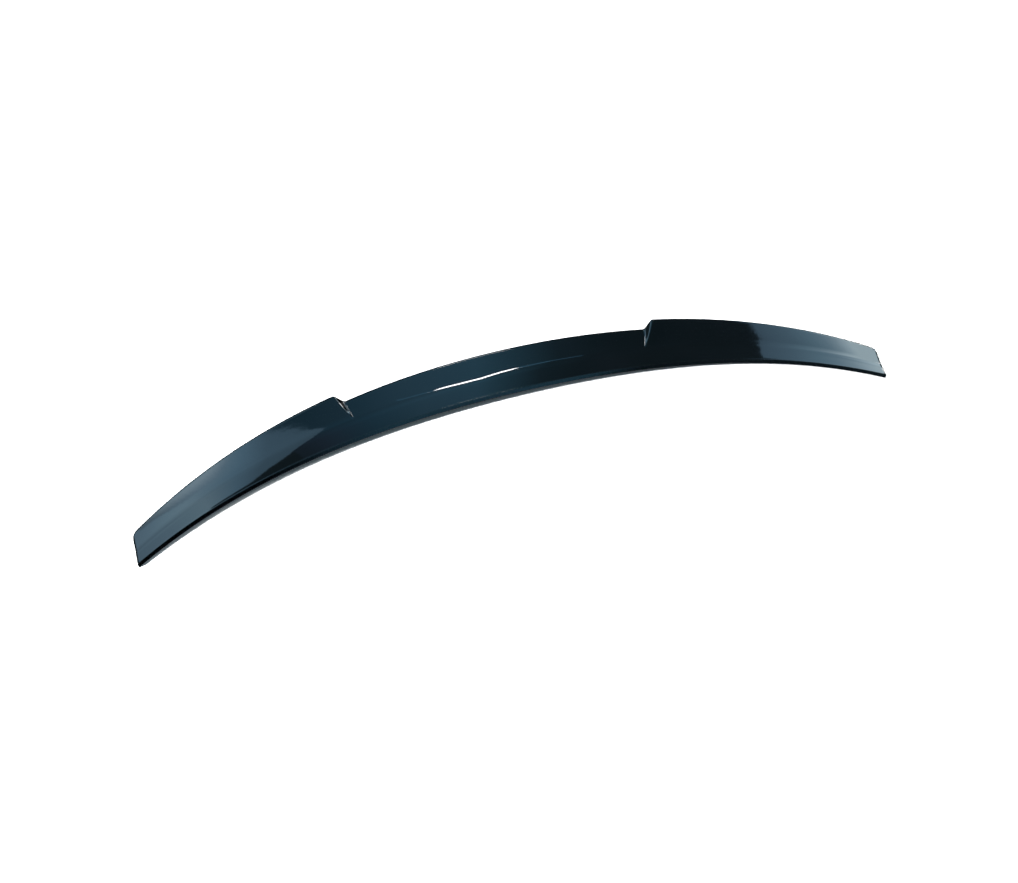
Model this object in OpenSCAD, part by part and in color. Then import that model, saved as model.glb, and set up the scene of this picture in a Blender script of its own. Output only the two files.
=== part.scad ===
// Lip spoiler for the rear edge of a car's boot lid, gloss black moulded plastic.
// X runs along the span, +Y points to the rear of the car and +Z is up. The part lies
// as it comes to rest: on the whole rear foot and on the front corners of both tips.
// The origin is on the table, at the middle of the overall box.

/* [Plan] */
// Half of the overall span, from the centre line to one tip
half_span = 592; // [540:1:640]
// How far the front edge sweeps forward from the centre to a tip
front_sweep = 126.4; // [90:0.2:150]
// Chord from the front edge to the trailing edge, on the centre line
centre_chord = 73.6; // [64:0.2:90]
// How far the trailing edge sweeps forward from the centre to a tip
rear_sweep = 161.2; // [135:0.1:180]
// Share of the front sweep that gathers near the tips
front_sweep_late = 0.3; // [0:0.01:0.5]
// Share of the rear sweep that gathers near the tips
rear_sweep_late = 0.23; // [0:0.01:0.5]
// Plan radius of the rear corner of each tip
corner_round = 8; // [4:0.5:14]

/* [Heights] */
// Height of the front foot over the table, on the centre line
front_rise = 7; // [4:0.1:16]
// Height of the rounded front edge over its foot
front_edge = 5.6; // [5:0.1:8]
// Height of the trailing edge over the table, on the centre line
centre_lip = 20.3; // [18:0.1:30]
// How far the trailing edge falls from the centre to a tip, steps left out
lip_fall = 19.9; // [14:0.1:24]
// Share of that fall that gathers near the tips
fall_late = 0.27; // [0:0.01:0.5]

/* [Steps] */
// Distance from the centre line to the middle of a step, at the trailing edge
step_x = 251; // [200:1:300]
// Length of a step along the span, at the trailing edge
step_run = 20; // [10:0.5:26]
// How much higher the wing's trailing edge is than the centre's
step_rise = 9.5; // [6:0.5:16]
// How much further back the wing's trailing edge is than the centre's
step_back = 12.3; // [4:0.1:16]
// How far a step leans towards the centre line on its way forward, for a whole chord
step_flare = 20; // [0:1:60]
// How much that lean grows on the way, for a whole chord
step_bend = 30; // [0:1:60]
// Place where a step dies out, as a share of the chord from the front edge
step_end = 0.58; // [0.5:0.01:0.7]
// Share of a step's length that is left where it dies out
step_point = 0.15; // [0.1:0.05:1]
// Share of a step's length over which each end of its ramp is rounded
step_soft = 0.3; // [0.1:0.05:0.5]

/* [Top surface] */
// Place of the long crease, as a share of the chord from the front edge
crease_at = 0.47; // [0.35:0.01:0.6]
// Half of the width over which the crease is softened, as a share of the chord
crease_soft = 0.08; // [0.04:0.01:0.12]
// Climb of the surface ahead of the crease, for a whole chord
front_climb = 2; // [0:0.1:5]
// Hollow of the surface between its two edges
top_hollow = 0.8; // [0:0.1:1.5]

/* [Edges] */
// Radius of the front edge
front_round = 3; // [2:0.1:5]
// Slope of the face below the front edge
front_slant = 50; // [40:1:60]
// Height of the upright foot of that face
front_base = 0.5; // [0.3:0.1:1]
// Radius of the trailing edge
lip_round = 2.5; // [1:0.1:3]
// Radius round the end face of each tip
tip_round = 2; // [0.5:0.1:4]

/* [Rear face] */
// How far the rear foot stands in from the trailing edge, on the centre line
foot_in = 5; // [2:0.1:10]
// How far the rear foot sweeps forward from the centre to a tip
foot_sweep = 153.2; // [140:0.2:165]
// Hollow of the rear face between the trailing edge and the foot
rear_hollow = 1.5; // [0:0.1:3]

/* [Shell] */
// Wall between the top surface and the hollow
skin = 3; // [2:0.1:4]
// Crown of the boot lid under the part, between its two feet
lid_crown = 1.5; // [0:0.1:3]
// Lean of the hollow's side walls, the way the mould draws
draw_lean = 28; // [10:1:35]
// Width of the hollow's rounded inner corners
hollow_corner = 0.8; // [0.4:0.1:1.5]
// Distance from a tip to the end of the hollow
solid_tip = 44; // [38:1:80]
// Length of the hollow's sloping end
end_slope = 5; // [2:0.5:10]

/* [Ribs] */
// Ribs across the hollow on each side of the centre line
ribs = 4; // [2:1:4]
// Distance from the centre line to the first rib
rib_first = 60; // [40:1:80]
// Distance between neighbouring ribs, the steps' bay left out
rib_pitch = 92; // [80:1:95]
// Extra length of the bay that holds a step
step_bay = 106; // [100:1:130]
// Thickness of a rib at its edge
rib_thick = 2; // [1.5:0.1:3]
// How much each face of a rib slopes
rib_draft = 0.5; // [0.2:0.1:1]
// Share of the hollow's depth that a rib leaves open, next to the boot lid
rib_gap = 0.35; // [0.2:0.05:0.6]

/* [Adhesive tape] */
// Width of a strip of foam tape
tape_width = 10; // [6:0.5:11]
// Thickness of the foam tape
tape_thick = 1.1; // [0.6:0.1:2]
// Thickness of the release liner over the tape
liner_thick = 0.2; // [0.1:0.05:0.4]
// Depth of the groove that locates the tape
groove_depth = 0.9; // [0.5:0.1:1.2]
// Clearance between a tape's side and the groove
tape_side_gap = 0.5; // [0.2:0.1:1]
// How much each side of the groove slopes
groove_draft = 0.2; // [0.1:0.05:0.2]
// Width of the foot's rim outside the groove
rim = 2; // [1.5:0.1:3]
// Distance from a tip to the end of its tapes
tape_tip_gap = 32; // [24:1:36]
// Distance from the centre line to the joint between two tapes
tape_joint = 196; // [170:1:200]
// Gap between two tapes at a joint
joint_gap = 4; // [2:0.5:10]
// Clearance where tape and liner are stacked
stack_gap = 0.01; // [0:0.01:0.05]

/* [Smoothness] */
// Longest distance between two sections
section_pitch = 32; // [16:1:60]
// Sections across a step
step_sections = 8; // [6:1:16]
// Sections round the corner of a tip
corner_sections = 4; // [3:1:8]

/* [Hidden] */

// Half of the span over which the sections lean with a step
step_window = 110;
// Points of the two rounded edges, and how far round the trailing edge turns
front_points = 3;
lip_points = 3;
lip_turn = 135;
// Faces across the top, ahead of the crease, over it and behind it, and down the rear face
front_faces = 3;
crease_faces = 5;
back_faces = 4;
rear_faces = 3;
// Sections round the end face of each tip
tip_sections = 2;
// Length over which the end of a groove rises to the foot
groove_fade = 0.5;
// Two places closer than this are the same
same = 0.01;
// Half of the stretch of chord over which a slope is measured
slope_reach = 0.002;
crease_lo = crease_at - crease_soft;
crease_hi = step_end + crease_soft;
land = tape_width + 2 * tape_side_gap;
tape_end = half_span - tape_tip_gap;
groove_end = tape_end + tape_side_gap;
hollow_end = half_span - solid_tip;

// General helpers
function clamp01(u) = max(0, min(1, u));
// A straight ramp from 0 to 1 with its two ends rounded
function ramp(u) = let(c = clamp01(u), q = step_soft) (c < q ? c * c / (2 * q)
    : c > 1 - q ? 1 - q - pow(1 - c, 2) / (2 * q) : c - q / 2) / (1 - q);
function smooth(u) = let(c = clamp01(u)) c * c * (3 - 2 * c);
function mix(a, b, u) = a + (b - a) * u;
function steps(a, b, n) = [for (i = [0 : n - 1]) mix(a, b, i / n)];
function sorted(v) = len(v) < 2 ? v : concat(
    sorted([for (a = v) if (a < v[0]) a]), [v[0]], sorted([for (a = v) if (a > v[0]) a]));
// Share of a sweep or fall reached at x, where late is the part that gathers near the tips
function reach(x, late) = let(t = abs(x) / half_span) (1 - late) * t * t + late * pow(t, 4);
// How far a round corner of radius r has cut in at x
function cut_in(x, r) = let(d = max(0, abs(x) - half_span + r)) r - sqrt(max(0, r * r - d * d));

// Plan of the edges
function front_y(x) = -front_sweep * reach(x, front_sweep_late);
function step_line(s) = step_x - step_lean(s);
function step_lean(s) = let(d = 1 - max(s, step_end)) step_flare * d + step_bend * d * d;
function narrowing(s) = mix(step_point, 1, clamp01((s - step_end) / (1 - step_end)));
function wing_share(x, s) = ramp((abs(x) - step_line(s)) / (step_run * narrowing(s)) + 0.5);
function chord(x) = centre_chord - rear_sweep * reach(x, rear_sweep_late) - front_y(x);
function top_y(x, s) = front_y(x) + s * chord(x) + step_back * wing_share(x, s) * kick(s, step_end);
function lip_y(x) = top_y(x, 1);
function foot_y(x) = centre_chord - foot_in - foot_sweep * reach(x, rear_sweep_late);

// Plan of the edges once the tips are rounded
function front_end(x) = front_y(x) + cut_in(x, tip_round);
function lip_end(x) = lip_y(x) - cut_in(x, corner_round) - cut_in(x, tip_round);
function foot_end(x) = foot_y(x) - cut_in(x, corner_round);

// Height of the boot lid's surface under the part
function front_foot_z(x) = front_rise * (1 - reach(x, fall_late));
function lid_z(x, y) = let(v = (y - front_y(x)) / (foot_y(x) - front_y(x)))
    front_foot_z(x) * (1 - v) + lid_crown * 4 * v * (1 - v);

// Height of the top surface, where s runs from 0 at the front edge to 1 at the trailing edge
function kick(s, from) = let(ahead = s - from + crease_soft) (ahead < 0 ? 0
    : ahead < 2 * crease_soft ? pow(ahead, 2) / (4 * crease_soft)
    : s - from) / (1 - from);
function front_top(x) = front_foot_z(x) + front_edge;
function lip_z(x) = centre_lip - lip_fall * reach(x, fall_late);
function top_z(x, s) = front_top(x) + front_climb * s
    + (lip_z(x) - front_top(x) - front_climb) * kick(s, crease_at)
    + step_rise * wing_share(x, s) * kick(s, step_end)
    - top_hollow * 4 * s * (1 - s) - cut_in(x, tip_round);

// The sections lean and close up with the steps, so that one section follows one line of a step
function lean(s) = s > step_end ? step_lean(s) : step_lean(step_end) * s / step_end;
function closing(s) = 1 - (s > step_end ? narrowing(s) : mix(1, step_point, s / step_end));
function leaned(x, s) = let(off = abs(x) - step_x)
    x - sign(x) * (lean(s) + off * closing(s)) * smooth(1 - abs(off) / step_window);

// Where the sections stand
rib_x = [for (i = [0 : ribs - 1]) rib_first + i * rib_pitch + (i > 1 ? step_bay : 0)];
rib_sections = [for (r = rib_x) for (d = [rib_thick / 2, rib_thick / 2 + rib_draft]) for (k = [-1, 1])
    r + k * d];
tape_sections = [for (k = [-1, 1]) tape_joint + k * joint_gap / 2];
end_sections = [hollow_end - end_slope, hollow_end, tape_end, groove_end, groove_end + groove_fade];
corner_x = [for (i = [0 : corner_sections])
    half_span - corner_round + corner_round * sin(90 * i / corner_sections)];
tip_x = [for (i = [1 : tip_sections])
    half_span - tip_round + tip_round * sin(90 * i / (tip_sections + 1))];
step_sections_x = [for (i = [0 : step_sections])
    step_x + step_run * (i / step_sections - 0.5)];
feature_x = sorted(concat([0], rib_sections, tape_sections, step_sections_x, end_sections,
    corner_x, tip_x));
half_x = [for (i = [0 : len(feature_x) - 1])
    let(a = feature_x[i], b = i + 1 < len(feature_x) ? feature_x[i + 1] : a)
    for (x = steps(a, b, max(1, ceil((b - a) / section_pitch)))) x];
sections = concat([for (i = [len(half_x) - 1 : -1 : 1]) -half_x[i]], half_x);

// The box of the part, which sets its origin
rear_most = max([for (x = sections) lip_end(x)]);
front_most = min([for (x = sections) front_end(x)]);
origin_y = (rear_most + front_most) / 2;

// How far the top surface runs back over a small stretch of s, its angle there, and s at a given y
function run(x, s) = top_y(x, s + slope_reach) - top_y(x, s - slope_reach);
function slope(x, s) = atan2(top_z(x, s + slope_reach) - top_z(x, s - slope_reach), run(x, s));
function nearer(x, y, s) = s + (y - top_y(x, s)) * 2 * slope_reach / run(x, s);
function share_at(x, y, s = 0.5, tries = 5) = tries == 0 ? clamp01(s)
    : share_at(x, y, clamp01(nearer(x, y, s)), tries - 1);

// Where an arc of radius r leaves the top surface, so that it just touches a flat face through
// [y, z] = edge, whose outward side is turned by tilt from straight up: to the front where tilt
// is negative. Gives the arc's centre, its first angle and s.
function edge_arc(x, edge, tilt, r, s, tries = 4) = let(
    a = slope(x, s),
    drop = cos(tilt) * (top_z(x, s) - r * cos(a) - edge[1]),
    y = edge[0] - r * sin(a) - (r + drop) / sin(tilt))
    tries == 0 ? [y + r * sin(a), top_z(x, s) - r * cos(a), a, s]
    : edge_arc(x, edge, tilt, r, nearer(x, y, s), tries - 1);

// Points of an arc from angle a0 to angle a1, both measured from straight up
function arc(x, e, r, a0, a1, n) = [for (a = steps(a0, a1, n))
    [x, e[0] + r * sin(a), e[1] + r * cos(a)]];

// Outer side of one section, from the front foot over the top to the rear foot
function outer(x) = let(
    toe = [front_end(x), lid_z(x, front_end(x))],
    base = [toe[0], toe[1] + front_base],
    foot = [foot_end(x), lid_z(x, foot_end(x))],
    front = edge_arc(x, base, -front_slant, front_round, 0),
    back = edge_arc(x, [lip_end(x), 0], 90, lip_round, 1),
    soft_end = min(crease_hi, (crease_lo + back[3]) / 2),
    lip = arc(x, back, lip_round, lip_turn, -back[2], lip_points),
    top_s = concat(steps(front[3], crease_lo, front_faces), steps(crease_lo, soft_end, crease_faces),
        steps(soft_end, back[3], back_faces), [back[3]]))
    concat(
        [[x, toe[0], toe[1]], [x, base[0], base[1]]],
        arc(x, front, front_round, -front_slant, -front[2], front_points),
        [for (s = top_s) let(l = leaned(x, s)) [l, top_y(l, s), top_z(l, s)]],
        [for (i = [lip_points - 1 : -1 : 0]) lip[i]],
        [for (i = [1 : rear_faces - 1]) let(q = i / rear_faces)
            [x, mix(lip[0][1], foot[0], q) - rear_hollow * 4 * q * (1 - q), mix(lip[0][2], foot[1], q)]],
        [[x, foot[0], foot[1]]]);

// How far the hollow is open at x: all the way in a bay, less at a rib, not at all in a tip
function rib_share(x) = max([for (r = rib_x)
    clamp01((rib_thick / 2 + rib_draft - abs(abs(x) - r)) / rib_draft)]);
function open_share(x) = clamp01((hollow_end - abs(x)) / end_slope)
    * mix(1, rib_gap, rib_share(x));
function groove(x) = abs(x) <= groove_end + same ? groove_depth : 0;
function tall(x, y) = open_share(x) * max(0, top_z(x, share_at(x, y)) - skin - lid_z(x, y));

// Places across the underside, from the front rim to the rear rim
function groove_front(x) = front_end(x) + rim;
function hollow_front(x) = groove_front(x) + land;
function groove_rear(x) = foot_end(x) - rim;
function hollow_rear(x) = groove_rear(x) - land;

// Under side of one section, with as many points as the outer side
function under(x, n) = let(
    ends = 3,
    a = hollow_front(x) + tall(x, hollow_front(x)) * tan(draw_lean) + hollow_corner,
    b = hollow_rear(x) + tall(x, hollow_rear(x)) * tan(draw_lean) - hollow_corner,
    m = n - 2 * ends,
    s_a = share_at(x, a),
    s_b = share_at(x, b))
    concat(
        [for (p = [[groove_front(x), 0], [groove_front(x) + groove_draft, 1], [hollow_front(x), 1]])
            [x, p[0], lid_z(x, p[0]) + p[1] * groove(x)]],
        [for (i = [0 : m - 1]) let(
            s = mix(s_a, s_b, i / (m - 1)),
            l = leaned(x, s),
            y = top_y(l, s),
            z = lid_z(l, y))
            [l, y, z + open_share(x) * max(0, top_z(l, s) - skin - z)]],
        [for (p = [[hollow_rear(x), 1], [groove_rear(x) - groove_draft, 1], [groove_rear(x), 0]])
            [x, p[0], lid_z(x, p[0]) + p[1] * groove(x)]]);

// The two triangles of a four-cornered face, split from its first or its second corner
function split(q, second) = second ? [[q[0], q[1], q[3]], [q[1], q[2], q[3]]]
    : [[q[0], q[1], q[2]], [q[0], q[2], q[3]]];

// A closed skin through equal rings of points, each an upper row and a lower row. Both rows
// are split the same way, so a wall between them keeps its thickness, and the left half
// mirrors the right.
module loft(upper, lower) {
    n = len(upper[0]);
    ring = 2 * n;
    last = len(upper) - 1;
    points = [for (i = [0 : last]) for (p = concat(upper[i], [for (j = [n - 1 : -1 : 0]) lower[i][j]])) p];
    sides = [for (i = [0 : last - 1]) for (j = [0 : ring - 1]) let(
        k = (j + 1) % ring,
        left = upper[i][0][0] + upper[i + 1][0][0] < 0)
        each split([i * ring + j, i * ring + k, (i + 1) * ring + k, (i + 1) * ring + j], left != (j >= n))];
    caps = [for (j = [0 : n - 2]) for (e = [0, last]) let(
        q = [e * ring + j, e * ring + ring - 1 - j, e * ring + ring - 2 - j, e * ring + j + 1])
        each split(e == 0 ? q : [q[3], q[2], q[1], q[0]], false)];
    polyhedron(points, concat(sides, caps), convexity = 8);
}

// One strip that lies in a groove between two places along the span, from depth lo to depth hi
module strip(x0, x1, rear, lo, hi) {
    xs = concat([x0], [for (x = sections) if (x > x0 + same && x < x1 - same) x], [x1]);
    edge = [for (x = xs) (rear ? hollow_rear(x) : groove_front(x)) + tape_side_gap];
    loft([for (i = [0 : len(xs) - 1]) [for (d = [0, tape_width])
            [xs[i], edge[i] + d, lid_z(xs[i], edge[i] + d) + groove_depth - lo]]],
        [for (i = [0 : len(xs) - 1]) [for (d = [0, tape_width])
            [xs[i], edge[i] + d, lid_z(xs[i], edge[i] + d) + groove_depth - hi]]]);
}

// The strips of one row: -1 is left, 0 is the centre and 1 is right
module row_strip(place, rear, lo, hi) {
    near = tape_joint + joint_gap / 2;
    if (place == 0) strip(joint_gap - near, near - joint_gap, rear, lo, hi);
    if (place == 1) strip(near, tape_end, rear, lo, hi);
    if (place == -1) strip(-tape_end, -near, rear, lo, hi);
}

module in_place() {
    translate([0, -origin_y, 0]) children();
}

module tape(place, rear) {
    color("#3c3d40") in_place() row_strip(place, rear, stack_gap, tape_thick);
}

module liner(place, rear) {
    color("#b4262c") in_place()
        row_strip(place, rear, tape_thick + stack_gap, tape_thick + liner_thick);
}

module spoiler_body() {
    upper = [for (x = sections) outer(x)];
    lower = [for (x = sections) under(x, len(upper[0]))];
    color("#0d1418") in_place() loft(upper, lower);
}

spoiler_body();
tape(-1, false);  // tape_front_left
tape(0, false);  // tape_front_centre
tape(1, false);  // tape_front_right
tape(-1, true);  // tape_rear_left
tape(0, true);  // tape_rear_centre
tape(1, true);  // tape_rear_right
liner(-1, false);  // liner_front_left
liner(0, false);  // liner_front_centre
liner(1, false);  // liner_front_right
liner(-1, true);  // liner_rear_left
liner(0, true);  // liner_rear_centre
liner(1, true);  // liner_rear_right
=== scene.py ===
# %% [markdown]
# # A gloss black lip spoiler for a boot lid
# The real thing is one moulding of ABS plastic, about 1.2 m long. Its top is sprayed gloss black
# and its hollow underside is left as it came out of the mould, with foam tape along both feet.
# Almost all that the eye gets from it is reflection, so the surface has to be smooth to a tenth
# of a millimetre, and the lamps round it matter as much as the paint.

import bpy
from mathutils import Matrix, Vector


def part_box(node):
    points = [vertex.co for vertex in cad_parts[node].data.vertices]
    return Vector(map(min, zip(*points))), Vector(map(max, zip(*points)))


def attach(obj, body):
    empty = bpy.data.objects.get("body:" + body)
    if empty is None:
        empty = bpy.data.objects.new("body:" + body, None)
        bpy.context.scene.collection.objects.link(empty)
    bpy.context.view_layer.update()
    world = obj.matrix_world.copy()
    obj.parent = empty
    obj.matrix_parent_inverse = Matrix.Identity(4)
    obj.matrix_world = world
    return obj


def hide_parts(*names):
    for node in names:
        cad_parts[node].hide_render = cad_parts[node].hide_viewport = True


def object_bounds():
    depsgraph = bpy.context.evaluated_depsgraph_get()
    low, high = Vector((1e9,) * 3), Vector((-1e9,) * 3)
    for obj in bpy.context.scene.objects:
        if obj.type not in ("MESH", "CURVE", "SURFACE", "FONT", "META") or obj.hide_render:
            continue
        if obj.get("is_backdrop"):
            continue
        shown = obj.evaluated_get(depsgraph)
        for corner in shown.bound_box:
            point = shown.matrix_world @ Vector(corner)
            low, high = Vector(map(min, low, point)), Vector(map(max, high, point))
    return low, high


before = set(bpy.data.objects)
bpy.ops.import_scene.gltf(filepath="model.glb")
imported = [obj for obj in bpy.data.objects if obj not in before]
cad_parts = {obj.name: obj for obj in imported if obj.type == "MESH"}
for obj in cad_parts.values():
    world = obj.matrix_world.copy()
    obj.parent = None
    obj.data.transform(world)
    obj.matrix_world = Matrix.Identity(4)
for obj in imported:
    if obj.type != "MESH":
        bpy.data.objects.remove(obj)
cad_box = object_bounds()
print("nodes:", ", ".join(sorted(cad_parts)))

# %% [markdown]
# ## Units and small helpers
# The model is in metres, and a moulding is drawn in millimetres, so the drawing's own numbers are
# kept in millimetres and turned to metres once, where the mesh is filled in.

# %% Units and helpers
import math

import bpy
import numpy as np
from mathutils import Matrix, Vector

MM = 0.001


def clamp01(u):
    return np.clip(u, 0.0, 1.0)


def smooth(u):
    c = clamp01(u)
    return c * c * (3 - 2 * c)


def ramp(u, soft):
    """A straight ramp from 0 to 1 with its two ends rounded."""
    c = clamp01(u)
    start = c * c / (2 * soft)
    end = 1 - soft - (1 - c) ** 2 / (2 * soft)
    return np.where(c < soft, start, np.where(c > 1 - soft, end, c - soft / 2)) / (1 - soft)


def mix(a, b, u):
    return a + (b - a) * u


def deselect_all():
    """Lets go of the CAD nodes, which are selected after loading."""
    bpy.ops.object.select_all(action="DESELECT")


# %% [markdown]
# ## The lines of the spoiler
# A long curved moulding is set out by a few lines that run from tip to tip: the front edge, the
# trailing edge and the rear foot in plan, and how high each of them stands. All of them are even
# curves, a square and a fourth power of the distance from the centre line, so they have no kinks
# that a reflection would show. These are the sizes that the solid model was set out with.

# %% Sizes in plan and height
half_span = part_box("spoiler_body")[1].x / MM
front_sweep, front_late = 126.4, 0.3
centre_chord = 73.6
rear_sweep, rear_late = 161.2, 0.23
foot_in, foot_sweep = 5.0, 153.2
front_rise, front_edge = 7.0, 5.6
centre_lip, lip_fall, fall_late = 20.3, 19.9, 0.27
corner_round, tip_round = 8.0, 2.0
print("half span", round(half_span, 1), "mm")


def reach(x, late):
    """Share of a sweep or fall reached at x, where late is the part that gathers near the tips."""
    t = np.abs(x) / half_span
    return (1 - late) * t**2 + late * t**4


def cut_in(x, r):
    """How far a round corner of radius r has cut in at x."""
    d = np.maximum(0, np.abs(x) - half_span + r)
    return r - np.sqrt(np.maximum(0, r * r - d * d))


# %% [markdown]
# ## The steps between the centre and the wings
# The trailing edge stands up and back on both wings. Each step leans towards the centre line and
# narrows on its way forward, and dies out a little behind the long crease.

# %% The steps
step_x, step_run = 251.0, 20.0
step_rise, step_back = 9.5, 12.3
step_flare, step_bend = 20.0, 30.0
step_end, step_point, step_soft, step_window = 0.58, 0.15, 0.3, 110.0
crease_at, crease_soft = 0.47, 0.08
front_climb, top_hollow = 2.0, 0.8


def front_y(x):
    return -front_sweep * reach(x, front_late)


def step_lean(s):
    d = 1 - np.maximum(s, step_end)
    return step_flare * d + step_bend * d * d


def narrowing(s):
    """Share of a step's length that is left at s. A step dies out in a point, not in a ramp."""
    return mix(step_point, 1.0, clamp01((s - step_end) / (1 - step_end)))


def wing_share(x, s):
    """0 on the centre part and 1 on a wing."""
    return ramp((np.abs(x) - step_x + step_lean(s)) / (step_run * narrowing(s)) + 0.5, step_soft)


def kick(s, start):
    """0 ahead of a crease, 1 at the trailing edge, and a parabola across the crease."""
    ahead = s - start + crease_soft
    bend = ahead**2 / (4 * crease_soft)
    rise = np.where(ahead < 2 * crease_soft, bend, s - start)
    return np.where(ahead < 0, 0.0, rise) / (1 - start)


def chord(x):
    return centre_chord - rear_sweep * reach(x, rear_late) - front_y(x)


def top_y(x, s):
    """Place on the top, where s runs from 0 at the front edge to 1 at the trailing edge."""
    return front_y(x) + s * chord(x) + step_back * wing_share(x, s) * kick(s, step_end)


def lip_y(x):
    return top_y(x, 1.0)


def foot_y(x):
    return centre_chord - foot_in - foot_sweep * reach(x, rear_late)


def front_end(x):
    return front_y(x) + cut_in(x, tip_round)


def lip_end(x):
    return lip_y(x) - cut_in(x, corner_round) - cut_in(x, tip_round)


def foot_end(x):
    return foot_y(x) - cut_in(x, corner_round)


# %% [markdown]
# ## The top surface
# From the front edge the surface runs nearly flat to a soft crease at about half of the chord and
# kicks up from there to the trailing edge. The wings kick up once more, where the steps begin.

# %% Height of the top surface
def front_foot_z(x):
    return front_rise * (1 - reach(x, fall_late))


def top_z(x, s):
    """Height of the top at that place, above the table."""
    front = front_foot_z(x) + front_edge
    climb = centre_lip - lip_fall * reach(x, fall_late) - front - front_climb
    return (front + front_climb * s + climb * kick(s, crease_at)
            + step_rise * wing_share(x, s) * kick(s, step_end)
            - top_hollow * 4 * s * (1 - s) - cut_in(x, tip_round))


def leaned(x, s):
    """The sections lean and close up with a step, so that one section follows one line of it."""
    ahead, off = s / step_end, np.abs(x) - step_x
    lean = np.where(s > step_end, step_lean(s), step_lean(step_end) * ahead)
    closing = 1 - np.where(s > step_end, narrowing(s), mix(1.0, step_point, ahead))
    return x - np.sign(x) * (lean + off * closing) * smooth(1 - np.abs(off) / step_window)


# %% [markdown]
# ## One section
# A loft is a row of sections with the same number of points. Each section starts at the front
# foot, goes over the top and down the rear face to the rear foot, and comes back along the
# underside. The two rounded edges are arcs that meet the top surface without a kink, which
# matters on gloss: a kink of one degree shows as a line in every reflection. Below the front
# edge a slanted face runs down to the boot lid. That edge is a little sharper here than in the
# solid model, because the photograph shows it as a thin dark line.
#
# Shading is averaged where faces meet, and a wide face beside a rounded edge would carry some of
# the edge's turn into the top, as a streak. So the first and last rows on the top are narrow.

# %% The outer side of a section
front_round, front_slant, front_base = 1.2, math.radians(50.0), 0.5
lip_round, lip_turn, rear_hollow = 2.5, math.radians(150.0), 1.5
foot_soft = 0.3
front_steps, top_steps, crease_steps, lip_steps, rear_steps = 8, 12, 16, 9, 7
edge_row = 0.006
slope_reach = 0.002


def run(x, s):
    return top_y(x, s + slope_reach) - top_y(x, s - slope_reach)


def slope(x, s):
    """Angle of the top surface along a section, in radians."""
    rise = top_z(x, s + slope_reach) - top_z(x, s - slope_reach)
    return float(np.arctan2(rise, run(x, s)))


def nearer(x, y, s):
    """A better s for the place where the top is at y."""
    return float(s + (y - top_y(x, s)) * 2 * slope_reach / run(x, s))


def share_at(x, y):
    s = 0.5
    for _ in range(6):
        s = float(clamp01(nearer(x, y, s)))
    return s


def edge_arc(x, y_edge, z_edge, tilt, r, s):
    """The arc of radius r that leaves the top without a kink and just touches a flat face
    through (y_edge, z_edge), whose outward side is turned by tilt from straight up. Gives the
    arc's centre, its angle where it leaves the top, and s there."""
    for _ in range(5):
        a = slope(x, s)
        z = float(top_z(x, s)) - r * math.cos(a)
        y = y_edge - r * math.sin(a) - (r + math.cos(tilt) * (z - z_edge)) / math.sin(tilt)
        s_used, s = s, nearer(x, y, s)
    return y + r * math.sin(a), z, a, s_used


def arc(x, centre, r, start, end, count):
    """count + 1 points of an arc, with both angles measured from straight up."""
    angles = np.linspace(start, end, count + 1)
    return [(x, centre[0] + r * math.sin(a), centre[1] + r * math.cos(a)) for a in angles]


def outer(x):
    toe, heel = front_end(x), foot_end(x)
    front = edge_arc(x, toe, lid_z(x, toe) + front_base, -front_slant, front_round, 0.0)
    back = edge_arc(x, lip_end(x), 0.0, math.pi / 2, lip_round, 1.0)
    points = [(x, toe + foot_soft, lid_z(x, toe + foot_soft)), (x, toe, lid_z(x, toe) + foot_soft),
              (x, toe, lid_z(x, toe) + front_base)]
    points += arc(x, front, front_round, -front_slant, -front[2], front_steps)[:-1]
    s_front, s_back = front[3], back[3]
    lo = crease_at - crease_soft
    hi = min(step_end + crease_soft, (lo + s_back) / 2)
    top = np.concatenate([
        [s_front], np.linspace(s_front + edge_row, lo, top_steps, endpoint=False),
        np.linspace(lo, hi, crease_steps, endpoint=False),
        np.linspace(hi, s_back - edge_row, top_steps), [s_back]])
    where = leaned(x, top)
    points += list(zip(where, top_y(where, top), top_z(where, top)))
    points += arc(x, back, lip_round, -back[2], lip_turn, lip_steps)[1:]
    _, y, z = points[-1]
    z_heel = lid_z(x, heel) + foot_soft
    for q in np.linspace(0, 1, rear_steps + 1)[1:]:
        points.append((x, mix(y, heel, q) - rear_hollow * 4 * q * (1 - q), mix(z, z_heel, q)))
    points.append((x, heel - foot_soft, lid_z(x, heel - foot_soft)))
    return points


# %% [markdown]
# ## The underside
# Both feet are lands that follow the crown of the boot lid, with a shallow groove for the tape.
# Between them the moulding is hollow, with a skin about 3 mm thick and ribs across it, and its
# side walls lean the way the mould draws. Near the tips the hollow closes.

# %% The under side of a section
skin, lid_crown = 3.0, 1.5
draw_lean, hollow_corner = math.radians(28.0), 0.8
solid_tip, end_slope = 44.0, 5.0
hollow_end = half_span - solid_tip
rib_x = (60.0, 152.0, 350.0, 442.0)
rib_thick, rib_draft, rib_gap = 2.0, 0.5, 0.35
rim, groove_depth, groove_draft = 2.0, 0.9, 0.2
tape_width, tape_side_gap, tape_tip_gap = 10.0, 0.5, 32.0
land = tape_width + 2 * tape_side_gap
groove_end = half_span - tape_tip_gap + tape_side_gap
groove_fade = 0.5
ceiling_steps = 15


def lid_z(x, y):
    v = (y - front_y(x)) / (foot_y(x) - front_y(x))
    return front_foot_z(x) * (1 - v) + lid_crown * 4 * v * (1 - v)


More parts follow.
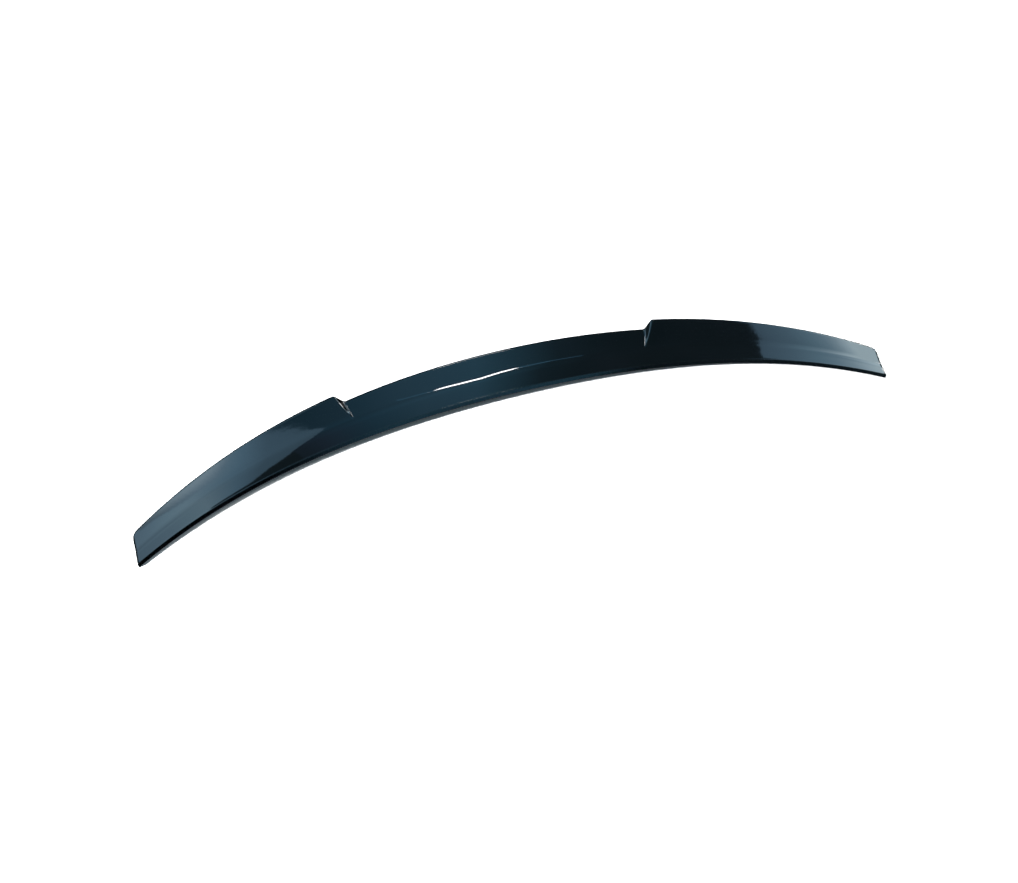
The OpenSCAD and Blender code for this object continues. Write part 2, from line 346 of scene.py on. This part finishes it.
def open_share(x):
    """How far the hollow is open at x: all the way in a bay, less at a rib, not in a tip."""
    nearest = min(abs(abs(x) - r) for r in rib_x)
    rib = float(clamp01((rib_thick / 2 + rib_draft - nearest) / rib_draft))
    return float(clamp01((hollow_end - abs(x)) / end_slope)) * mix(1, rib_gap, rib)


def tall(x, place, y, s):
    """Height of the hollow under (place, y), open as much as it is at x."""
    return open_share(x) * max(0.0, float(top_z(place, s)) - skin - float(lid_z(place, y)))


def under(x):
    groove = groove_depth if abs(x) <= groove_end else 0.0
    a, d = front_end(x) + rim, foot_end(x) - rim
    b, c = a + land, d - land
    y0 = b + tall(x, x, b, share_at(x, b)) * math.tan(draw_lean) + hollow_corner
    y1 = c + tall(x, x, c, share_at(x, c)) * math.tan(draw_lean) - hollow_corner
    points = [(x, a, lid_z(x, a)), (x, a + groove_draft, lid_z(x, a) + groove),
              (x, b, lid_z(x, b) + groove)]
    for s in np.linspace(share_at(x, y0), share_at(x, y1), ceiling_steps):
        l = float(leaned(x, s))
        y = float(top_y(l, s))
        points.append((l, y, lid_z(l, y) + tall(x, l, y, s)))
    points += [(x, c, lid_z(x, c) + groove), (x, d - groove_draft, lid_z(x, d) + groove),
               (x, d, lid_z(x, d))]
    return points


# %% [markdown]
# ## Lofting the moulding
# A tube without ends is added with as many corners as a section has points and then shaped:
# every ring of it is moved onto its section. The sections stand close together where the shape
# turns quickly, at the steps, ribs and tips, and a few millimetres apart elsewhere.

# %% Where the sections stand
plain_pitch, step_pitch = 6.0, 1.0
step_reach = step_run / 2 + 3.0
closest = 0.08


def round_end(radius, degrees):
    """Places along a rounded end, closer together towards the tip."""
    return [half_span - radius * (1 - math.sin(math.radians(a))) for a in degrees]


def stand_of_sections():
    half = list(np.arange(0, half_span - corner_round, plain_pitch))
    half += list(np.arange(step_x - step_reach, step_x + step_reach, step_pitch))
    for away in (rib_thick / 2, rib_thick / 2 + rib_draft):
        half += [r + side * away for r in rib_x for side in (-1, 1)]
    half += [hollow_end - end_slope, hollow_end, groove_end, groove_end + groove_fade]
    half += round_end(corner_round, range(0, 90, 10)) + round_end(tip_round, range(15, 91, 15))
    kept = [0.0]
    for x in sorted(half):
        if x - kept[-1] > closest:
            kept.append(x)
    return [-x for x in kept[:0:-1]] + kept


sections = stand_of_sections()
rings = [outer(x) + under(x)[::-1] for x in sections]
origin_y = (max(lip_end(x) for x in sections) + min(front_end(x) for x in sections)) / 2
print(len(sections), "sections of", len(rings[0]), "points; origin at y",
      round(float(origin_y), 2), "mm")

# %% [markdown]
# The tube is a flat grid, with one row per section and one column per corner of it. Once its
# points stand on the sections, its first and last column lie on each other and are merged, and
# each open end is closed with a face. The part that was sprayed and the part that wasn't get
# different finishes, so the faces are sorted by their column.

# %% The moulding
ring = len(rings[0])
sprayed = len(outer(0.0)) - 2

deselect_all()
bpy.ops.mesh.primitive_grid_add(x_subdivisions=ring, y_subdivisions=len(sections) - 1, size=1)
body = bpy.context.object
body.name = body.data.name = "spoiler_moulding"
places = np.array([points + points[:1] for points in rings], dtype=float).reshape(-1, 3)
places[:, 1] -= origin_y
body.data.vertices.foreach_set("co", (places * MM).ravel())
body.data.update()

columns = [min(v % (ring + 1) for v in face.vertices) for face in body.data.polygons]
for face, column in zip(body.data.polygons, columns):
    face.material_index = 0 if column < sprayed else 1

bpy.ops.object.mode_set(mode="EDIT")
bpy.ops.mesh.select_all(action="SELECT")
bpy.ops.mesh.remove_doubles(threshold=1e-6)
bpy.ops.object.mode_set(mode="OBJECT")
for end in (-1, 1):
    bpy.ops.object.mode_set(mode="EDIT")
    bpy.ops.mesh.select_all(action="DESELECT")
    bpy.ops.object.mode_set(mode="OBJECT")
    for v in body.data.vertices:
        v.select = abs(v.co.x - end * half_span * MM) < 1e-6
    for e in body.data.edges:
        e.select = all(body.data.vertices[i].select for i in e.vertices)
    bpy.ops.object.mode_set(mode="EDIT")
    bpy.ops.mesh.edge_face_add()
    bpy.ops.object.mode_set(mode="OBJECT")

bpy.ops.object.mode_set(mode="EDIT")
bpy.ops.mesh.select_all(action="SELECT")
bpy.ops.mesh.quads_convert_to_tris(quad_method="SHORTEST_DIAGONAL", ngon_method="BEAUTY")
bpy.ops.mesh.normals_make_consistent(inside=False)
bpy.ops.object.mode_set(mode="OBJECT")
bpy.ops.object.shade_smooth_by_angle(angle=math.radians(34))
print("moulding:", len(body.data.vertices), "vertices,", len(body.data.polygons), "triangles")

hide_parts("spoiler_body")
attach(body, "root")

# %% [markdown]
# ## Finishes
# Every finish is built the same way: one function makes an empty material, one adds a node with
# its settings and links, and a few short ones add the nodes that come back in every finish.
# Colours are written as sRGB, as a colour picker gives them, and turned to linear light in one
# place.

# %% Helpers for finishes
def colour(text):
    """A colour such as "#0a1216" as linear red, green, blue and alpha."""
    parts = [int(text[i:i + 2], 16) / 255 for i in (1, 3, 5)]
    return [c / 12.92 if c <= 0.04045 else ((c + 0.055) / 1.055) ** 2.4 for c in parts] + [1.0]


def add_node(material, kind, inputs, **settings):
    """Adds a node, sets it up, and gives each input a value or links it to an output."""
    tree = material.node_tree
    made = tree.nodes.new(kind)
    for name, value in settings.items():
        setattr(made, name, value)
    for name, value in inputs.items():
        if isinstance(value, bpy.types.NodeSocket):
            tree.links.new(value, made.inputs[name])
        else:
            made.inputs[name].default_value = value
    return made


def new_finish(name):
    """An empty material, its output node and the Object coordinates, which are in metres."""
    material = bpy.data.materials.new(name)
    material.use_nodes = True
    material.node_tree.nodes.clear()
    output = add_node(material, "ShaderNodeOutputMaterial", {})
    place = add_node(material, "ShaderNodeTexCoord", {}).outputs["Object"]
    return material, output, place


def finish_shader(material, output, shader):
    material.node_tree.links.new(shader.outputs[0], output.inputs["Surface"])


def noise(material, place, scale, detail):
    """Noise of 0 to 1, with scale cells to a metre."""
    return add_node(material, "ShaderNodeTexNoise", {
        "Vector": place, "Scale": scale, "Detail": detail}).outputs["Fac"]


def relief(material, height, depth, strength):
    """The normal of a surface that a height of 0 to 1 raises by depth, in metres."""
    return add_node(material, "ShaderNodeBump", {
        "Height": height, "Distance": depth, "Strength": strength}).outputs["Normal"]


def colour_ramp(material, value, stops):
    """The colour at a value, from (position, linear colour) stops."""
    made = add_node(material, "ShaderNodeValToRGB", {"Fac": value})
    elements = made.color_ramp.elements
    while len(elements) < len(stops):
        elements.new(1.0)
    for element, (position, light) in zip(elements, stops):
        element.position, element.color = position, (*light[:3], 1.0)
    return made.outputs["Color"]


def blend(material, share, first, second, how="MIX"):
    return add_node(material, "ShaderNodeMix", {0: share, 6: first, 7: second},
                    data_type="RGBA", blend_type=how).outputs[2]


# %% [markdown]
# ## Gloss black lacquer over ABS
# The top is black base coat under clear lacquer, flatted and polished. The base gives almost no
# light of its own, a trace of blue-green, and the clear coat gives the mirror. Sprayed lacquer
# keeps a faint waviness, orange peel, of a few micrometres over some 6 mm, which is what makes
# the edge of a reflected lamp uneven. Polishing leaves hardly any haze.

# %% Gloss black lacquer
peel_size, peel_depth = 6.0 * MM, 0.004 * MM
dust_size, dust_share = 1.6 * MM, 0.12

lacquer, out, place = new_finish("gloss_black_lacquer")
base_tone = colour_ramp(lacquer, noise(lacquer, place, 9.0, 2.0), [
    (0.35, colour("#060a0c")), (0.7, colour("#080c0f"))])
peel = noise(lacquer, place, 1 / peel_size, 1.0)
dust = noise(lacquer, place, 1 / dust_size, 2.0)
waves = add_node(lacquer, "ShaderNodeMath", {0: dust, 1: dust_share, 2: peel},
                 operation="MULTIPLY_ADD")
wavy = relief(lacquer, waves.outputs["Value"], peel_depth, 1.0)
shader = add_node(lacquer, "ShaderNodeBsdfPrincipled", {
    "Base Color": base_tone, "Roughness": 0.45, "IOR": 1.5, "Specular IOR Level": 0.0,
    "Coat Weight": 1.0, "Coat Roughness": 0.03, "Coat IOR": 1.5,
    "Normal": wavy, "Coat Normal": wavy})
finish_shader(lacquer, out, shader)
body.data.materials.append(lacquer)
print("finish:", lacquer.name)

# %% [markdown]
# ## Bare moulded ABS
# The underside was never sprayed. It has the mould's own spark-eroded texture, fine and matt,
# with a slight haze of overspray that makes it uneven.

# %% Bare moulded ABS
spark_size, spark_depth = 0.9 * MM, 0.05 * MM

bare, out, place = new_finish("bare_moulded_abs")
haze = noise(bare, place, 14.0, 3.0)
tone = colour_ramp(bare, haze, [(0.3, colour("#191b1d")), (0.75, colour("#24272a"))])
matt = add_node(bare, "ShaderNodeMapRange", {"Value": haze, "To Min": 0.42, "To Max": 0.58})
sparks = relief(bare, noise(bare, place, 1 / spark_size, 3.0), spark_depth, 0.6)
shader = add_node(bare, "ShaderNodeBsdfPrincipled", {
    "Base Color": tone, "Roughness": matt.outputs["Result"], "IOR": 1.54, "Normal": sparks})
finish_shader(bare, out, shader)
body.data.materials.append(bare)
print("finish:", bare.name)

# %% [markdown]
# ## Foam tape and its release liner
# The strips in the grooves are the solid model's own, because their shape is right as it is.
# Acrylic foam tape is dark grey closed-cell foam: small round cells, quite matt, each painted
# darker towards its hollow middle as painted shade. The liner is a thin red film, satin, with the
# faint long wrinkles of something that was wound on a roll, painted darker in their troughs and
# lighter on their crests as painted shade and painted highlight. For the light that it throws back
# it is dark grey, or it would redden the table beside the part.

# %% Foam tape
cell_size, cell_depth = 0.7 * MM, 0.08 * MM

foam, out, place = new_finish("acrylic_foam_tape")
cells = add_node(foam, "ShaderNodeTexVoronoi", {
    "Vector": place, "Scale": 1 / cell_size}).outputs["Distance"]
# Painted shade: each cell is coloured darker towards its middle, where the bump below sits lowest.
tone = colour_ramp(foam, cells, [(0.0, colour("#2b2c2f")), (1.0, colour("#47494d"))])
shader = add_node(foam, "ShaderNodeBsdfPrincipled", {
    "Base Color": tone, "Roughness": 0.9, "IOR": 1.47,
    "Normal": relief(foam, cells, cell_depth, 0.7)})
finish_shader(foam, out, shader)

# %% Release liner
wrinkle_size, wrinkle_depth = 9.0 * MM, 0.25 * MM
wrinkle_stretch = (0.25, 1.0, 1.0)

film, out, place = new_finish("red_release_film")
along = add_node(film, "ShaderNodeMapping", {"Vector": place, "Scale": wrinkle_stretch})
folds = noise(film, along.outputs["Vector"], 1 / wrinkle_size, 3.0)
# Painted shade and painted highlight: the red is darker in the troughs of the wrinkles and lighter
# on their crests, following the bump.
tone = colour_ramp(film, folds, [(0.3, colour("#8f1b20")), (0.7, colour("#b4262c"))])
path = add_node(film, "ShaderNodeLightPath", {})
tint = blend(film, path.outputs["Is Diffuse Ray"], tone, colour("#2a2b2d"))
shader = add_node(film, "ShaderNodeBsdfPrincipled", {
    "Base Color": tint, "Roughness": 0.32, "IOR": 1.5,
    "Normal": relief(film, folds, wrinkle_depth, 0.5)})
finish_shader(film, out, shader)

strips = 0
for name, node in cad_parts.items():
    for start, finish in (("tape_", foam), ("liner_", film)):
        if name.startswith(start):
            node.data.materials.clear()
            node.data.materials.append(finish)
            strips += 1
print("strips finished:", strips)

# %% [markdown]
# ## The camera
# The photograph was taken from about two metres, high above the part and a little to its left,
# with the camera turned by three degrees. The angles are those that put the model's outline on
# the photograph's, to about a pixel.

# %% Camera
photo_width = 1018
focal_px = 1250.0
camera_far = 1.9214
azimuth, elevation, roll = (math.radians(a) for a in (-18.42, 65.546, 2.816))
target = Vector((-0.014874, -0.048278, 0.0))

back = Vector((math.sin(azimuth) * math.cos(elevation), -math.cos(azimuth) * math.cos(elevation),
               math.sin(elevation)))
level = Vector((math.cos(azimuth), math.sin(azimuth), 0.0))
upward = back.cross(level)
right = level * math.cos(roll) + upward * math.sin(roll)
above = upward * math.cos(roll) - level * math.sin(roll)

bpy.ops.object.camera_add(location=target + back * camera_far)
camera = bpy.context.object
camera.name = "photo_camera"
camera.rotation_euler = Matrix((right, above, back)).transposed().to_euler()
camera.data.sensor_fit = "HORIZONTAL"
camera.data.sensor_width = 36.0
camera.data.lens = camera.data.sensor_width * focal_px / photo_width
camera.data.dof.use_dof = False
bpy.context.scene.camera = camera
print("lens", round(camera.data.lens, 1), "mm at", round(camera_far, 2), "m")

# %% [markdown]
# ## Floor and background
# The part lies on a white table that runs out of the picture. The table takes the part's shadow
# like any white surface. It also has a little light of its own, which rises to full white away
# from the part, so that the open table is as white as paper without more light on the part. In
# the gloss the table is dark, or the faces of the steps would show it as light strokes.

# %% Floor and world
table_size = 14.0
white_from, white_to = 0.75, 1.5
near_light = 0.02
room_light = 0.13


def seen(material_or_world):
    """1 for what the camera, gloss or glass looks at, 0 for the light that falls on things."""
    path = add_node(material_or_world, "ShaderNodeLightPath", {}).outputs
    share = path["Is Camera Ray"]
    for kind in ("Is Glossy Ray", "Is Transmission Ray"):
        share = add_node(material_or_world, "ShaderNodeMath", {0: share, 1: path[kind]},
                         operation="MAXIMUM").outputs["Value"]
    return share


deselect_all()
bpy.ops.mesh.primitive_plane_add(size=table_size, location=(0.0, 0.0, -0.0001))
floor = bpy.context.object
floor.name = "white_table"
table, out, place = new_finish("white_table_top")
tone = colour_ramp(table, noise(table, place, 40.0, 2.0), [
    (0.0, colour("#f3f4f4")), (1.0, colour("#f6f6f6"))])
path = add_node(table, "ShaderNodeLightPath", {})
shown = blend(table, path.outputs["Is Glossy Ray"], tone, colour("#202a30"))
matt = add_node(table, "ShaderNodeBsdfDiffuse", {"Color": shown})
away = add_node(table, "ShaderNodeVectorMath", {0: place}, operation="LENGTH")
whiter = add_node(table, "ShaderNodeMapRange", {
    "Value": away.outputs["Value"], "From Min": white_from, "From Max": white_to,
    "To Min": near_light, "To Max": 1.0})
lift = add_node(table, "ShaderNodeMath", {0: seen(table), 1: whiter.outputs["Result"]},
                operation="MULTIPLY")
own = add_node(table, "ShaderNodeEmission", {"Color": shown, "Strength": lift.outputs["Value"]})
both = add_node(table, "ShaderNodeAddShader", {0: matt.outputs["BSDF"], 1: own.outputs["Emission"]})
finish_shader(table, out, both)
floor.data.materials.append(table)
floor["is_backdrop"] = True

world = bpy.context.scene.world or bpy.data.worlds.new("studio")
bpy.context.scene.world = world
world.use_nodes = True
world.node_tree.nodes.clear()
strength = add_node(world, "ShaderNodeMapRange", {
    "Value": seen(world), "To Min": room_light, "To Max": 1.0})
tint = blend(world, seen(world), (0.7, 1.0, 1.15, 1.0), (1.0, 1.0, 1.0, 1.0))
sky = add_node(world, "ShaderNodeBackground", {
    "Color": tint, "Strength": strength.outputs["Result"]})
add_node(world, "ShaderNodeOutputWorld", {"Surface": sky.outputs["Background"]})
print("table", table_size, "m across; light of the room", room_light)

# %% [markdown]
# ## What the gloss looks at
# Black lacquer shows hardly anything but its surroundings, about a twentieth part of their
# light. So a tent stands round the table, teal over the middle and black to the right, with two
# softboxes and a short tube under its roof. They are seen by gloss alone: the light that falls
# on the part comes from the next step. Every place is in millimetres on a flat roof, worked
# back from where the photograph's reflections begin and end on the model.

# %% Tent
roof = 2500.0
flag_height, lamp_height = roof - 10.0, roof - 15.0
tent_half = 3600.0
wall_radius = 1.5 * tent_half


def only_for_gloss(obj):
    obj.visible_camera = obj.visible_diffuse = obj.visible_shadow = False
    obj.visible_transmission = obj.visible_volume_scatter = False
    obj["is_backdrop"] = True


def glow(name, strength, light=None):
    """A cloth that gives light: an even colour, or one that is linked in later."""
    material, out, place = new_finish(name)
    shader = add_node(material, "ShaderNodeEmission", {"Color": light or (1.0, 1.0, 1.0, 1.0),
                                                       "Strength": strength})
    finish_shader(material, out, shader)
    return material, shader.inputs["Color"], place


def times(material, first, second):
    return blend(material, 1.0, first, second, "MULTIPLY")


def from_to(material, value, start, end):
    """0 where a value is at start and 1 where it is at end."""
    return add_node(material, "ShaderNodeMapRange", {
        "Value": value, "From Min": start, "From Max": end}).outputs["Result"]


def card(name, corners, height, material):
    """A flat card under the roof, with the corners given in turn."""
    deselect_all()
    bpy.ops.mesh.primitive_circle_add(vertices=len(corners), fill_type="NGON")
    obj = bpy.context.object
    obj.name = name
    for v, (x, y) in zip(obj.data.vertices, corners):
        v.co = (x * MM, y * MM, height * MM)
    obj.data.materials.append(material)
    only_for_gloss(obj)
    return obj


roof_cloth, roof_light, place = glow("tent_roof_cloth", 1.6)
split = add_node(roof_cloth, "ShaderNodeSeparateXYZ", {"Vector": place})
teal = colour_ramp(roof_cloth, from_to(roof_cloth, split.outputs["X"], -1.0, 1.0), [
    (0.00, (0.012, 0.03, 0.05)), (0.28, (0.03, 0.065, 0.12)), (0.32, (0.05, 0.11, 0.21)),
    (0.43, (0.075, 0.30, 0.50)), (0.53, (0.17, 0.48, 0.75)), (0.64, (0.19, 0.56, 0.86)),
    (0.70, (0.10, 0.34, 0.52)), (0.77, (0.025, 0.09, 0.14)), (0.85, (0.006, 0.03, 0.05)),
    (1.00, (0.0, 0.008, 0.014))])
fading = colour_ramp(roof_cloth, from_to(roof_cloth, split.outputs["Y"], -1.3, 1.3), [
    (0.0, (0.7, 0.7, 0.7)), (0.35, (0.65, 0.65, 0.65)), (0.6, (1.0, 1.0, 1.0)),
    (0.72, (0.85, 0.85, 0.85)), (0.9, (1.15, 1.15, 1.15)), (1.0, (0.85, 0.85, 0.85))])
roof_cloth.node_tree.links.new(times(roof_cloth, teal, fading), roof_light)
card("tent_roof", [(-tent_half, -tent_half), (tent_half, -tent_half), (tent_half, tent_half),
                   (-tent_half, tent_half)], roof + 20.0, roof_cloth)

wall_cloth, wall_light, place = glow("tent_wall_cloth", 1.0)
split = add_node(wall_cloth, "ShaderNodeSeparateXYZ", {"Vector": place})
front_middle = colour_ramp(wall_cloth, from_to(wall_cloth, split.outputs["X"], -4.5, 4.5), [
    (0.577, (0.02, 0.05, 0.07)), (0.5815, (0.03, 0.08, 0.12)), (0.5845, (0.21, 0.66, 1.0)),
    (0.588, (0.21, 0.66, 1.0)), (0.597, (0.13, 0.36, 0.55)), (0.611, (0.04, 0.1, 0.14)),
    (0.63, (0.0, 0.0, 0.0))])
only_front = colour_ramp(wall_cloth, from_to(wall_cloth, split.outputs["Y"], -2.5, -1.5), [
    (0.0, (1.0, 1.0, 1.0)), (1.0, (0.02, 0.03, 0.04))])
wall_cloth.node_tree.links.new(times(wall_cloth, front_middle, only_front), wall_light)
deselect_all()
bpy.ops.mesh.primitive_cylinder_add(
    vertices=64, radius=wall_radius * MM, depth=(roof + 60.0) * MM, end_fill_type="NOTHING",
    location=(0.0, 0.0, roof / 2 * MM))
walls = bpy.context.object
walls.name = "tent_walls"
walls.data.materials.append(wall_cloth)
only_for_gloss(walls)

# %% [markdown]
# Both softboxes are long and stand in a fan, and each is brighter along a line through it. So a
# softbox is a grid between its inner edge and a second edge that the widths give, and its cloth
# reads how far across and along the box it is from the grid's own UV map. A black flag cuts each
# off at the far end, as in the photograph, and a cutter beside the left one keeps the near edge
# of that tip black. The left one's corner is trimmed with a piece of the roof's own cloth, so
# that its end runs level across the wing.

# %% Softboxes
def softbox(name, inner, widths, across_stops, along_stops, strength, below=0.0):
    """A card from the inner edge outwards, a width for each point of the edge."""
    columns = 12
    cloth, light, _ = glow(name + "_cloth", strength)
    on_card = add_node(cloth, "ShaderNodeTexCoord", {}).outputs["UV"]
    split = add_node(cloth, "ShaderNodeSeparateXYZ", {"Vector": on_card})
    along = [(i / (len(along_stops) - 1), (m, m, m)) for i, m in enumerate(along_stops)]
    cloth.node_tree.links.new(times(cloth, colour_ramp(cloth, split.outputs["X"], across_stops),
                                    colour_ramp(cloth, split.outputs["Y"], along)), light)
    deselect_all()
    bpy.ops.mesh.primitive_grid_add(x_subdivisions=columns, y_subdivisions=len(inner) - 1)
    box = bpy.context.object
    box.name = name
    for i, v in enumerate(box.data.vertices):
        row, across = divmod(i, columns + 1)
        x, y = inner[row]
        v.co = ((x + widths[row] * across / columns) * MM, y * MM, (roof - below) * MM)
    box.data.materials.append(cloth)
    only_for_gloss(box)


softbox("left_softbox",
        [(-78, -440), (-82, -380), (-90, -300), (-105, -200), (-129, -30), (-212, 300), (-319, 727),
         (-407, 918), (-491, 1088), (-900, 1700), (-1300, 2500)],
        [-707, -760, -933, -1050, -1137, -1360, -1403, -1350, -1300, -1400, -1500],
        [(0.0, (0.144, 0.276, 0.396)), (0.12, (0.17, 0.32, 0.46)), (0.2, (0.26, 0.49, 0.69)),
         (0.26, (0.37, 0.62, 0.82)), (0.31, (0.48, 0.76, 0.96)), (0.37, (0.44, 0.72, 0.92)),
         (0.45, (0.37, 0.61, 0.81)), (0.6, (0.30, 0.50, 0.68)), (0.75, (0.25, 0.41, 0.57)),
         (1.0, (0.23, 0.37, 0.52))],
        [1.0, 1.0, 1.0, 1.0, 0.95, 0.85, 0.8, 0.8, 0.8, 0.8, 0.75], 5.0)
softbox("left_softbox_line",
        [(-240, -425), (-270, -380), (-300, -340), (-350, -300), (-420, -250), (-500, -200),
         (-590, -150), (-680, -90)],
        [-40, -70, -100, -110, -130, -120, -100, -80],
        [(0.0, (0.34, 0.56, 0.76)), (0.5, (0.72, 1.0, 1.2)), (1.0, (0.6, 0.88, 1.08))],
        [0.9, 1.0, 1.0, 1.0, 0.9, 0.75, 0.6, 0.5], 5.0, 5.0)
softbox("right_softbox",
        [(885, -500), (896, -440), (903, -394), (924, -300), (957, -200), (990, -100), (1026, 0),
         (1060, 100), (1095, 200), (1188, 469), (1370, 900), (1435, 1055), (1499, 1167),
         (1800, 1600), (2150, 2000), (2550, 2500)],
        [265, 265, 290, 300, 272, 260, 274, 280, 305, 350, 560, 650, 700, 640, 650, 650],
        [(0.0, (0.075, 0.135, 0.195)), (0.25, (0.11, 0.195, 0.27)), (0.45, (0.16, 0.28, 0.37)),
         (0.6, (0.22, 0.35, 0.45)), (0.75, (0.34, 0.49, 0.59)), (0.9, (0.52, 0.70, 0.81)),
         (1.0, (0.62, 0.81, 0.90))],
        [1.0, 1.0], 10.0)
bright_cloth, _, _ = glow("right_softbox_middle_cloth", 10.0, (0.64, 0.83, 0.92, 1.0))
card("right_softbox_middle",
     [(1150, -500), (1161, -440), (1193, -394), (1224, -300), (1229, -200), (1250, -100), (1300, 0),
      (1340, 100), (1400, 200), (1538, 469), (1930, 900), (2085, 1055), (2199, 1167), (2440, 1600),
      (2800, 2000), (3200, 2500), (3330, 2500), (2600, 1600), (2230, 1080), (1800, 400),
      (1500, -80), (1450, -500)], roof, bright_cloth)

flag_cloth, _, _ = glow("flag_cloth", 1.0, (0.0, 0.02, 0.03, 1.0))
card("left_flag",
     [(-470, 1062), (-500, 1075), (-600, 1092), (-700, 1130), (-800, 1112), (-890, 1098),
      (-890, 1150), (-870, 1200), (-700, 1900), (-470, 1900)], flag_height, flag_cloth)
card("left_softbox_corner",
     [(-60, -470), (-60, -424), (-75, -428), (-86, -432), (-94, -433.7), (-110, -436.7),
      (-122, -439.2), (-153, -439.7), (-153, -470)], flag_height, roof_cloth)
card("right_flag",
     [(1400, 1160), (1600, 1162), (1690, 1148), (1690, 1200), (1650, 1300), (1650, 1900),
      (1400, 1900)], flag_height, flag_cloth)
card("left_cutter",
     [(-330, -560), (-560, -330), (-700, -160), (-790, 0), (-1040, 500), (-1330, 1000),
      (-1370, 1080), (-1700, 1700), (-2100, 2420), (-2100, 3500), (-3500, 3500), (-3500, -560)],
     flag_height, flag_cloth)

# %% [markdown]
# The white line along the crease is a tube lamp. The crease squeezes a broad band of the roof
# into a line, so the tube is wide where the line runs ahead of the crease and thin behind it.

# %% Tube lamp
tube_glow, _, _ = glow("tube_light", 45.0)
card("tube",
     [(132, 530), (155, 475), (215, 545), (285, 585), (351, 455), (403, 445), (403, 515),
      (351, 580), (285, 715), (215, 675), (155, 585), (132, 560)], lamp_height, tube_glow)
trail_glow, _, _ = glow("tube_reflector", 1.0, (0.5, 1.5, 2.4, 1.0))
card("tube_reflector_left",
     [(20, 385), (80, 445), (132, 500), (132, 570), (80, 525), (20, 410)], lamp_height, trail_glow)
card("tube_reflector_right",
     [(403, 435), (450, 435), (512, 425), (512, 495), (450, 520), (403, 515)], lamp_height,
     trail_glow)
end_glow, _, _ = glow("tube_reflector_end", 1.0, (0.3, 0.9, 1.5, 1.0))
card("tube_reflector_end",
     [(512, 430), (565, 455), (620, 475), (620, 530), (565, 520), (512, 490)], lamp_height,
     end_glow)

# %% [markdown]
# The face of the left step turns so fast that it sweeps the roof far out on the right, beyond
# what the wings show. A small bright card there gives the thin white crescent on it.

# %% Crescent card
crescent_glow, _, _ = glow("crescent_light", 35.0)
card("crescent_card", [(1820, 570), (2600, 975), (2600, 1130), (1990, 840), (1820, 700)],
     lamp_height, crescent_glow)

# %% [markdown]
# ## Light on the part
# One lamp stands on the left and a little behind the part, about as high as it is far away, so
# the near edge throws a narrow shadow towards the camera, widest at the left tip, as it does in
# the photograph. A weaker spot on the right gives the right tip a shadow of its own. The rest is
# the even light of the room, cool and weak.

# %% Lamps
def aim(light, target):
    """Keep the light out of the gloss and turn its beam to a place on the table."""
    light.visible_camera = light.visible_glossy = False
    light.rotation_euler = (light.location - Vector(target)).to_track_quat("Z", "Y").to_euler()


bpy.ops.object.light_add(type="AREA", location=(-3.8, 0.85, 1.7))
lamp = bpy.context.object
lamp.name = "key_lamp"
lamp.data.shape = "DISK"
lamp.data.size = 0.6
lamp.data.energy = 760.0
aim(lamp, (0.0, 0.0, 0.0))
bpy.ops.object.light_add(type="SPOT", location=(1.7, 0.8, 1.2))
fill = bpy.context.object
fill.name = "fill_spot"
fill.data.spot_size = math.radians(42.0)
fill.data.spot_blend = 1.0
fill.data.shadow_soft_size = 0.2
fill.data.energy = 270.0
aim(fill, (0.62, 0.0, 0.0))

bpy.context.scene.view_settings.view_transform = "Standard"

# %% Finish
look_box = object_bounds()
for label, box in (("solid model", cad_box), ("dressed part", look_box)):
    print(label, [round((hi - lo) / MM, 2) for lo, hi in zip(*box)], "mm")
